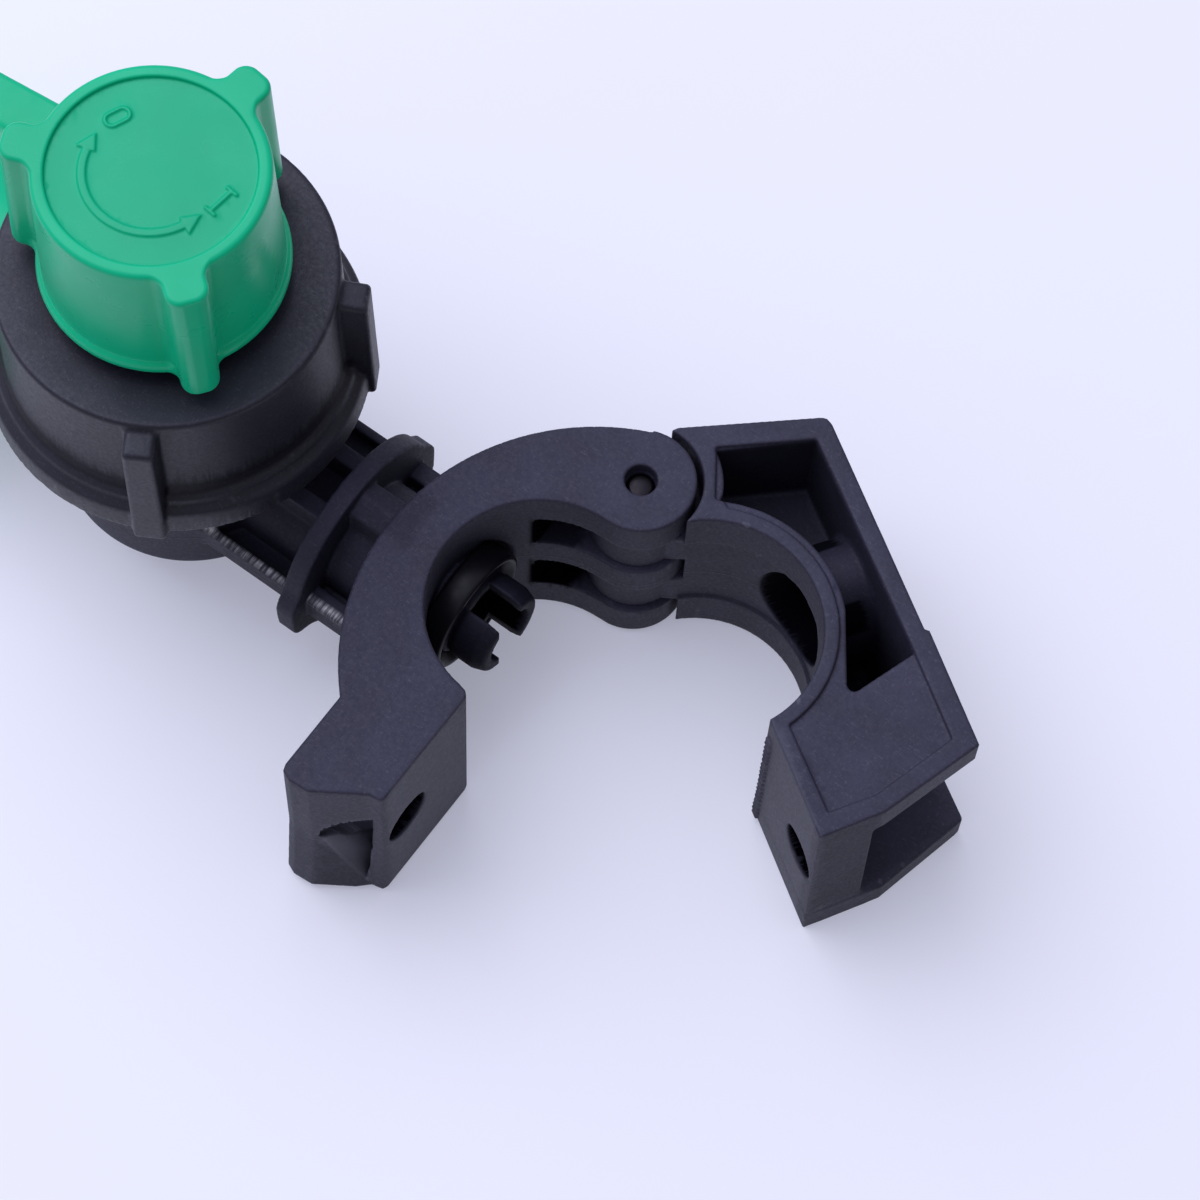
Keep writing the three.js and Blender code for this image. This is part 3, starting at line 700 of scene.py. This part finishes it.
class Graph:
    """Short names for building a material's nodes."""

    def __init__(self, name):
        self.material = bpy.data.materials.new(name)
        self.material.use_nodes = True
        self.tree = self.material.node_tree
        self.tree.nodes.clear()
        output = self.tree.nodes.new("ShaderNodeOutputMaterial")
        self.shader = self.tree.nodes.new("ShaderNodeBsdfPrincipled")
        self.tree.links.new(self.shader.outputs[0], output.inputs[0])
        self.coords = self.add("ShaderNodeTexCoord").outputs["Object"]

    def add(self, kind, inputs=(), **settings):
        node = self.tree.nodes.new(kind)
        for key, value in settings.items():
            setattr(node, key, value)
        for key, value in dict(inputs).items():
            self.plug(value, node.inputs[key])
        return node

    def plug(self, value, socket):
        if isinstance(value, bpy.types.NodeSocket):
            self.tree.links.new(value, socket)
        else:
            socket.default_value = value

    def stored(self, name):
        """A number kept at each point of the mesh by mark()."""
        made = self.add("ShaderNodeAttribute", attribute_name=name, attribute_type="GEOMETRY")
        return made.outputs["Fac"]

    def noise(self, scale, detail=3.0, roughness=0.5, stretch=None):
        place = self.coords
        if stretch:
            place = self.add("ShaderNodeMapping", {"Vector": place, "Scale": stretch}).outputs[0]
        made = self.add("ShaderNodeTexNoise",
                        {"Vector": place, "Scale": scale, "Detail": detail, "Roughness": roughness})
        return made.outputs["Fac"]

    def band(self, value, low, high, out_low=0.0, out_high=1.0):
        """A value between low and high, spread over another range and held at its ends."""
        made = self.add("ShaderNodeMapRange", {"Value": value, "From Min": low, "From Max": high,
                                               "To Min": out_low, "To Max": out_high})
        return made.outputs["Result"]

    def math(self, operation, a, b=0.0):
        return self.add("ShaderNodeMath", {0: a, 1: b}, operation=operation).outputs[0]

    def mix(self, factor, a, b):
        made = self.add("ShaderNodeMix", data_type="RGBA")
        self.plug(factor, made.inputs[0])
        self.plug(a, made.inputs[6])
        self.plug(b, made.inputs[7])
        return made.outputs[2]

    def bump(self, height, strength, distance, under=None):
        made = self.add("ShaderNodeBump", {"Height": height, "Strength": strength, "Distance": distance})
        if under:
            self.plug(under, made.inputs["Normal"])
        return made.outputs[0]

    def finish(self, **sockets):
        for key, value in sockets.items():
            self.plug(value, self.shader.inputs[key.replace("_", " ")])
        return self.material


def filled_plastic(name, color, pale_and_painted_light_color, rough_low=0.57, rough_high=0.72, rail_flash_and_glints=False):
    """Black plastic with chopped glass in it: pale flecks and fibres, matt, edges paler, partly rubbed
    and partly a painted highlight.

    Painted shade makes faces that look sideways a little darker, and a faint seam runs round at the
    parting plane.
    The tops of the neck's rails are pale, glossy and scored across: partly trimmed flash, partly painted
    glints."""
    g = Graph(name)
    cloud = g.noise(180, 4)
    fleck = g.band(g.noise(5200, 2), 0.66, 0.76)
    fibre = g.math("MAXIMUM", g.band(g.noise(1300, 2, 0.6, (1, 4, 1)), 0.62, 0.72),
                   g.band(g.noise(1500, 2, 0.6, (4, 1, 1)), 0.62, 0.72))
    base = g.mix(g.band(cloud, 0.35, 0.65), color, tuple(c * 1.35 for c in color[:3]) + (1,))
    base = g.mix(g.math("MULTIPLY", g.math("MAXIMUM", fleck, fibre), 0.1), base, pale_and_painted_light_color)
    # paler edges: partly rubbed wear, partly a painted highlight
    edge = g.band(g.add("ShaderNodeNewGeometry").outputs["Pointiness"], 0.54, 0.62)
    worn_and_highlit = g.math("MULTIPLY", edge, g.band(g.noise(700, 4), 0.35, 0.7, 0.02, 0.22))
    base = g.mix(worn_and_highlit, base, pale_and_painted_light_color)
    # painted light: stored brightening on faces that should catch more light, and a painted highlight
    # along the nut pocket's lip
    base = g.mix(g.stored("painted_light"), base, pale_and_painted_light_color)
    painted_shade_amount = g.stored("painted_shade")
    # painted shade: faces that look sideways are darkened towards black
    facing = g.add("ShaderNodeSeparateXYZ", {"Vector": g.add("ShaderNodeNewGeometry").outputs["Normal"]})
    level = g.math("ABSOLUTE", facing.outputs["Z"])
    base = g.mix(g.band(level, 0.75, 0.98, 0.24, 0.0), base, (0, 0, 0, 1))
    # painted shade: stored darkening in recesses and under overhangs, towards black; it also takes the
    # gloss away below
    base = g.mix(g.math("MULTIPLY", painted_shade_amount, 0.95), base, (0.0005, 0.0005, 0.0007, 1))
    rough = g.band(g.noise(2500, 3), 0.3, 0.7, rough_low, rough_high)
    normal = g.bump(g.noise(4200, 3, 0.6), 0.25, 0.00006)
    normal = g.bump(g.noise(160, 2), 0.15, 0.0002, normal)
    place = g.add("ShaderNodeSeparateXYZ", {"Vector": g.coords}).outputs
    seam = g.math("ABSOLUTE", g.math("SUBTRACT", place["Z"], (SHIFT.z - 1.0) / 1000))
    normal = g.bump(g.band(seam, 0.00005, 0.00018, 1.0, 0.0), 0.5, 0.00006, normal)
    if rail_flash_and_glints:
        across = g.math("SUBTRACT", SHIFT.y / 1000, place["Y"])
        top = g.math("SUBTRACT", place["Z"], SHIFT.z / 1000)
        rail = g.math("MULTIPLY", g.band(across, 0.0091, 0.0097), g.band(top, 0.0005, 0.0007))
        rail = g.math("MULTIPLY", rail, g.band(across, 0.0098, 0.0104, 1.0, 0.0))
        rail = g.math("MULTIPLY", rail, g.band(top, 0.0015, 0.0017, 1.0, 0.0))
        beyond = g.math("SUBTRACT", place["X"], (SHIFT.x - 15.5) / 1000)
        rail = g.math("MULTIPLY", rail, g.band(beyond, 0.0, 0.0005, 1.0, 0.0))
        # pale scored colour on the rails' tops: partly trimmed flash, partly painted glints
        scored_flash_and_glints = g.band(g.noise(3600, 3, 0.7, (1, 0.06, 0.06)), 0.42, 0.62, 0.1, 1.0)
        base = g.mix(g.math("MULTIPLY", rail, scored_flash_and_glints), base, (0.6, 0.6, 0.58, 1))
        rough = g.math("SUBTRACT", rough, g.math("MULTIPLY", rail, 0.3))
    return g.finish(Base_Color=base, Roughness=rough, Normal=normal,
                    Specular_IOR_Level=g.math("MULTIPLY", g.math("SUBTRACT", 1.0, painted_shade_amount), 0.42))


def green_plastic(name, color, deep):
    """Glossy moulded plastic with faint flow marks, darkened by stored painted shade."""
    g = Graph(name)
    cloud = g.band(g.noise(90, 3), 0.3, 0.7)
    base = g.mix(cloud, color, deep)
    # painted shade: stored darkening towards black
    base = g.mix(g.stored("painted_shade"), base, (0, 0, 0, 1))
    rough = g.band(g.noise(250, 3), 0.3, 0.7, 0.26, 0.34)
    normal = g.bump(g.noise(220, 2), 0.08, 0.0003)
    return g.finish(Base_Color=base, Roughness=rough, Normal=normal, Specular_IOR_Level=0.22)


def steel(name, color, rough_low, rough_high, stretch):
    """Bare metal with streaks drawn out by stretch."""
    g = Graph(name)
    streak = g.noise(1500, 3, 0.6, stretch)
    rough = g.band(streak, 0.3, 0.7, rough_low, rough_high)
    normal = g.bump(streak, 0.2, 0.00003)
    return g.finish(Base_Color=color, Metallic=1.0, Roughness=rough, Normal=normal)


def smooth_plastic(name, color, rough_low, rough_high, specular=0.5, grain=1400):
    """Unfilled plastic, rubber or ceramic with a fine grain."""
    g = Graph(name)
    base = g.mix(g.noise(120, 3), color, tuple(c * 0.8 for c in color[:3]) + (1,))
    rough = g.band(g.noise(grain, 3), 0.3, 0.7, rough_low, rough_high)
    normal = g.bump(g.noise(grain, 3), 0.12, 0.00005)
    return g.finish(Base_Color=base, Roughness=rough, Normal=normal, Specular_IOR_Level=specular)


def woven_steel(name):
    """A fine wire screen."""
    g = Graph(name)
    wave = g.add("ShaderNodeTexWave", {"Vector": g.coords, "Scale": 900.0, "Distortion": 0.4},
                 bands_direction="DIAGONAL").outputs["Fac"]
    base = g.mix(wave, (0.2, 0.2, 0.21, 1), (0.62, 0.62, 0.64, 1))
    return g.finish(Base_Color=base, Metallic=1.0, Roughness=0.35, Normal=g.bump(wave, 0.6, 0.0001))


def dress(piece, material):
    piece.data.materials.clear()
    piece.data.materials.append(material)


FILLED_COLOR = (0.0215, 0.0205, 0.039, 1)
FILLED_PALE_AND_PAINTED_LIGHT = (0.28, 0.28, 0.33, 1)
BLACK = filled_plastic("black_filled_plastic", FILLED_COLOR, FILLED_PALE_AND_PAINTED_LIGHT)
BODY_BLACK = filled_plastic("black_body_plastic", FILLED_COLOR, FILLED_PALE_AND_PAINTED_LIGHT, rail_flash_and_glints=True)
NUT_BLACK = filled_plastic("black_nut_plastic", (0.0105, 0.0102, 0.019, 1), (0.24, 0.24, 0.27, 1),
                           0.42, 0.55)
GREEN = green_plastic("green_moulded_plastic", (0.0, 0.5, 0.225, 1), (0.0, 0.45, 0.2, 1))
PIN = steel("cut_steel", (0.02, 0.018, 0.02, 1), 0.25, 0.45, (8, 1, 1))
WIRE = steel("spring_wire", (0.6, 0.6, 0.62, 1), 0.2, 0.35, (1, 1, 1))
RUBBER = smooth_plastic("seal_rubber", (0.006, 0.006, 0.008, 1), 0.3, 0.42, 0.16)
ACETAL = smooth_plastic("black_acetal", (0.04, 0.04, 0.05, 1), 0.4, 0.55)
NATURAL = smooth_plastic("natural_acetal", (0.72, 0.7, 0.63, 1), 0.4, 0.5)
BLUE = smooth_plastic("blue_acetal", (0.03, 0.12, 0.5, 1), 0.3, 0.4)
CERAMIC = smooth_plastic("white_ceramic", (0.8, 0.78, 0.73, 1), 0.15, 0.25)
MESH = woven_steel("woven_screen")


# ------------------------------------------------------------------ pieces

def below_lip(x, z):
    """The side of the nut pocket's slanting lower lip that faces the flange's foot."""
    return ((z - 0.3) * 4.2 + (x + 6.9) * 11.5) / 12.24


# Painted shade darkens some places and painted light brightens others, each with its strength from 0 to
# 1.
BODY_PAINTED_SHADE = (
    # painted shade in the inlet's bore, on the spigot, in the bolt hole and in the finger pockets
    (lambda x, y, z: inside(disc(y, z, 4.0), slab(x, -16, -4.7)), 1.0),
    (lambda x, y, z: inside(disc(y, z, 5.6), slab(x, -9.6, 0)), 0.6),
    (lambda x, y, z: inside(disc(y, z, 3.6, BOLT_Y, 0), slab(x, -2.6, -0.74)), 1.0),
    (lambda x, y, z: inside(bar(x, y, -6.5, 11, 2.2, 4), slab(np.abs(z), 2.2, 8.7)), 1.0),
    # painted shade between the neck's walls, over the neck as a whole and on the corner under the nut
    # pocket
    (lambda x, y, z: inside(slab(y, -9.3, 9.3), slab(x, -38, -26.4), slab(z, -9, 8.4)), 0.4),
    (lambda x, y, z: inside(disc(y, z, 14), slab(x, -36, -15.8)), 0.25),
    (lambda x, y, z: inside(y + 26.3, -7.3 - x, below_lip(x, z)), 0.3),
)
BODY_PAINTED_LIGHT = (
    # painted light on the nut pocket's slanting floor, a painted highlight along its lip, painted light
    # in the pocket itself and on the mating face
    (lambda x, y, z: inside(y + 24.5, slab(x, -6.9, -2.3), slab(below_lip(x, z), 0.2, 2.4), z + 1), 0.22),
    (lambda x, y, z: inside(y + 25.5, slab(x, -6.7, -2.4), slab(below_lip(x, z), -0.25, 0.35)), 0.45),
    (lambda x, y, z: inside(disc(y, z, 7.6, BOLT_Y, 0), slab(x, -10.5, -2.0)), 0.12),
    (lambda x, y, z: inside(slab(x, -1.0, 0.3), slab(y, -26.3, -12.7)), 0.13),
)
# painted light on the hinged jaw's mating face
JAW_PAINTED_LIGHT = ((lambda x, y, z: inside(slab(x, 1.5, 2.45), slab(y, -24.5, -12)), 0.16),)
JAW_PAINTED_SHADE = (
    # painted shade in the bolt hole, the oval socket, the window's inside, the bolt pocket and at the
    # bolt end
    (lambda x, y, z: inside(disc(y, z, 3.6, JAW_BOLT_Y, 0), slab(x, 2.17, 12)), 1.0),
    (lambda x, y, z: inside(bar(y, z, 2.6, 0, 5.8, 8.2), slab(x, 4, 17.8), -disc(x, y, 12.4)), 0.93),
    (lambda x, y, z: inside(-disc(x, y, 14.1), slab(x, 3, 18.8), slab(y, -10.4, 19),
                            slab(z, -13.1, 12.9)), 0.38),
    (lambda x, y, z: inside(slab(x, 8.8, 40), slab(y, -50, -13.6), slab(z, -9.1, 9.1)), 0.6),
    (lambda x, y, z: inside(slab(x, 2.4, 9.2), slab(y, -50, -24.7), slab(z, -9, 13.3)), 0.3),
)
NUT_PAINTED_SHADE = (
    # painted shade in the groove over the band, and on the top under the knob
    (lambda x, y, z: inside(disc(x, y, 19.1, VALVE_X, 0), slab(z, 19.5, 21.4)), 0.55),
    (lambda x, y, z: inside(disc(x, y, 14.5, VALVE_X, 0), z - 40), 0.15),
)
# painted shade over the knob's sunk disc, so that it looks deeper
KNOB_PAINTED_SHADE = ((lambda x, y, z: inside(disc(x, y, 10.5, VALVE_X, 0), 40 - z), 0.12),)

body = moulded("body_moulding", body_field(), (-82, -31.6, -13.6), (5.3, 24, 20.2), 0.25,
               "valve_body", "body", painted_shades=BODY_PAINTED_SHADE, painted_lights=BODY_PAINTED_LIGHT)
jaw = moulded("hinged_jaw_moulding", jaw_field(), (-6.2, -26.7, -13.7), (22.3, 24, 13.7), 0.23,
              "hinged_jaw", "clamp_jaw", turned=True, painted_shades=JAW_PAINTED_SHADE, painted_lights=JAW_PAINTED_LIGHT)
nut = moulded("ring_nut_moulding", nut_field(), (-70, -22, 13.4), (-26, 22, 34), 0.28,
              "valve_body", "ring_nut", painted_shades=NUT_PAINTED_SHADE)
knob = moulded("shutoff_knob_moulding", knob_field(), (-65, -17, 36), (-31.5, 17, 55), 0.16,
               "knob", "shutoff_knob", painted_shades=KNOB_PAINTED_SHADE)
cap = moulded("nozzle_cap_moulding", cap_field(), (-94.2, -22.2, -16), (-70.8, 22.2, 16), 0.26,
              "cap", "nozzle_cap")
MOULDINGS = ((body, BODY_BLACK), (jaw, BLACK), (nut, NUT_BLACK), (knob, GREEN), (cap, GREEN))
for piece, material in MOULDINGS:
    dress(piece, material)

seal = turned_piece(
    "inlet_seal_rubber",
    [(4.95, -11.7), (7.35, -11.7), (7.5, -11.3), (7.32, -9.3)]
    + [(6.87 + 0.42 * math.cos(a), -9.1 + 0.42 * math.sin(a)) for a in np.radians(range(0, 160, 20))]
    + [(6.3, -9.2), (4.95, -10.8)],
    "valve_body", "inlet_seal", axis="x")
dress(seal, RUBBER)

pin = turned_piece(
    "hinge_pin_steel",
    [(0, -11.6), (1.35, -11.6), (1.5, -11.45), (1.5, 11.7), (1.36, 11.9), (1.1, 11.98), (0, 12.0)],
    "valve_body", "hinge_pin", centre=HINGE, sides=64)
dress(pin, PIN)

# CAD nodes whose shape is kept.
CARRIED = {"valve_bonnet": ACETAL, "valve_diaphragm": RUBBER, "valve_plunger": NATURAL,
           "valve_spring": WIRE, "knob_spindle": ACETAL, "strainer_frame": NATURAL,
           "strainer_mesh": MESH, "tip_gasket": RUBBER, "spray_tip": BLUE, "orifice_insert": CERAMIC}
for node, material in CARRIED.items():
    dress(frame["nodes"][node], material)

# The spring's top is found from its box, and the spring gets a mesh of its own.
spring_low, spring_high = (Vector(corner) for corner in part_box("valve_spring"))
spring_top = (spring_low + spring_high) / 2
spring_top.z = spring_high.z
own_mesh(frame["nodes"]["valve_spring"])


# ------------------------------------------------------------------ stage

def floor():
    """A pale floor, tilted so that the cap and the clamp both lie on it."""
    cap_x, cap_z = CAP_RIM_X, -15.9       # where the cap touches, and where the clamp does
    clamp_x, clamp_z = 30.0, -HALF
    slope = (clamp_z - cap_z) / (clamp_x - cap_x)
    size = 900
    clearance = 0.05
    points = [(x, y, cap_z + (x - cap_x) * slope - clearance) for x, y in
              ((-size, -size), (size, -size), (size, size), (-size, size))]
    mesh = bpy.data.meshes.new("floor")
    mesh.from_pydata(to_row(points).tolist(), [], [(0, 1, 2, 3)])
    made = bpy.data.objects.new("floor", mesh)
    bpy.context.scene.collection.objects.link(made)
    g = Graph("pale_paper")
    base = g.mix(g.noise(6, 3), (0.6, 0.6, 0.61, 1), (0.63, 0.63, 0.64, 1))
    dress(made, g.finish(Base_Color=base, Roughness=0.8, Normal=g.bump(g.noise(900, 3), 0.05, 0.0001),
                         Emission_Color=(0.93, 0.95, 1.15, 1), Emission_Strength=0.28))


def area_light(name, place, target, size, power, color=(1, 1, 1)):
    data = bpy.data.lights.new(name, "AREA")
    data.shape = "DISK"
    data.size = size
    data.energy = power
    data.color = color
    lamp = bpy.data.objects.new(name, data)
    lamp.location = place
    lamp.rotation_mode = "QUATERNION"
    lamp.rotation_quaternion = (Vector(target) - Vector(place)).to_track_quat("-Z", "Y")
    bpy.context.scene.collection.objects.link(lamp)


def camera():
    """The viewpoint: above the clamp, looking down at the knob."""
    data = bpy.data.cameras.new("camera")
    data.sensor_width = 36
    data.lens = CAMERA_LENS
    data.clip_start, data.clip_end = 0.05, 10
    made = bpy.data.objects.new("camera", data)
    right = Vector(CAMERA_RIGHT).normalized()
    back = Vector(CAMERA_BACK).normalized()
    up = back.cross(right).normalized()
    right = up.cross(back)
    place = (Vector(CAMERA_PLACE) + SHIFT) / 1000
    turn = Matrix((right, up, back)).transposed().to_4x4()
    made.matrix_world = Matrix.Translation(place) @ turn
    bpy.context.scene.collection.objects.link(made)
    bpy.context.scene.camera = made


def studio(toward, low, high):
    """A soft surround that brightens smoothly from low to high towards a direction."""
    world = bpy.data.worlds.new("studio")
    world.use_nodes = True
    tree = world.node_tree
    way = tree.nodes.new("ShaderNodeTexCoord").outputs["Generated"]
    dot = tree.nodes.new("ShaderNodeVectorMath")
    dot.operation = "DOT_PRODUCT"
    dot.inputs[1].default_value = Vector(toward).normalized()
    tree.links.new(way, dot.inputs[0])
    level = tree.nodes.new("ShaderNodeMapRange")
    level.interpolation_type = "SMOOTHSTEP"
    for key, value in (("From Min", -0.1), ("From Max", 1.0)):
        level.inputs[key].default_value = value
    tree.links.new(dot.outputs["Value"], level.inputs["Value"])
    tint = tree.nodes.new("ShaderNodeMix")
    tint.data_type = "RGBA"
    tint.inputs[6].default_value = (low * 1.05, low, low * 0.8, 1)
    tint.inputs[7].default_value = (high * 0.86, high * 0.88, high * 1.2, 1)
    tree.links.new(level.outputs[0], tint.inputs[0])
    tree.links.new(tint.outputs[2], tree.nodes["Background"].inputs[0])
    bpy.context.scene.world = world


floor()
camera()
area_light("window", (-0.38, 0.03, 0.7), (0, 0, 0.02), 0.8, 3.7, (0.94, 0.95, 1.12))
studio((-0.44, 0.02, 0.89), 0.15, 0.86)
bpy.context.scene.view_settings.view_transform = "Standard"
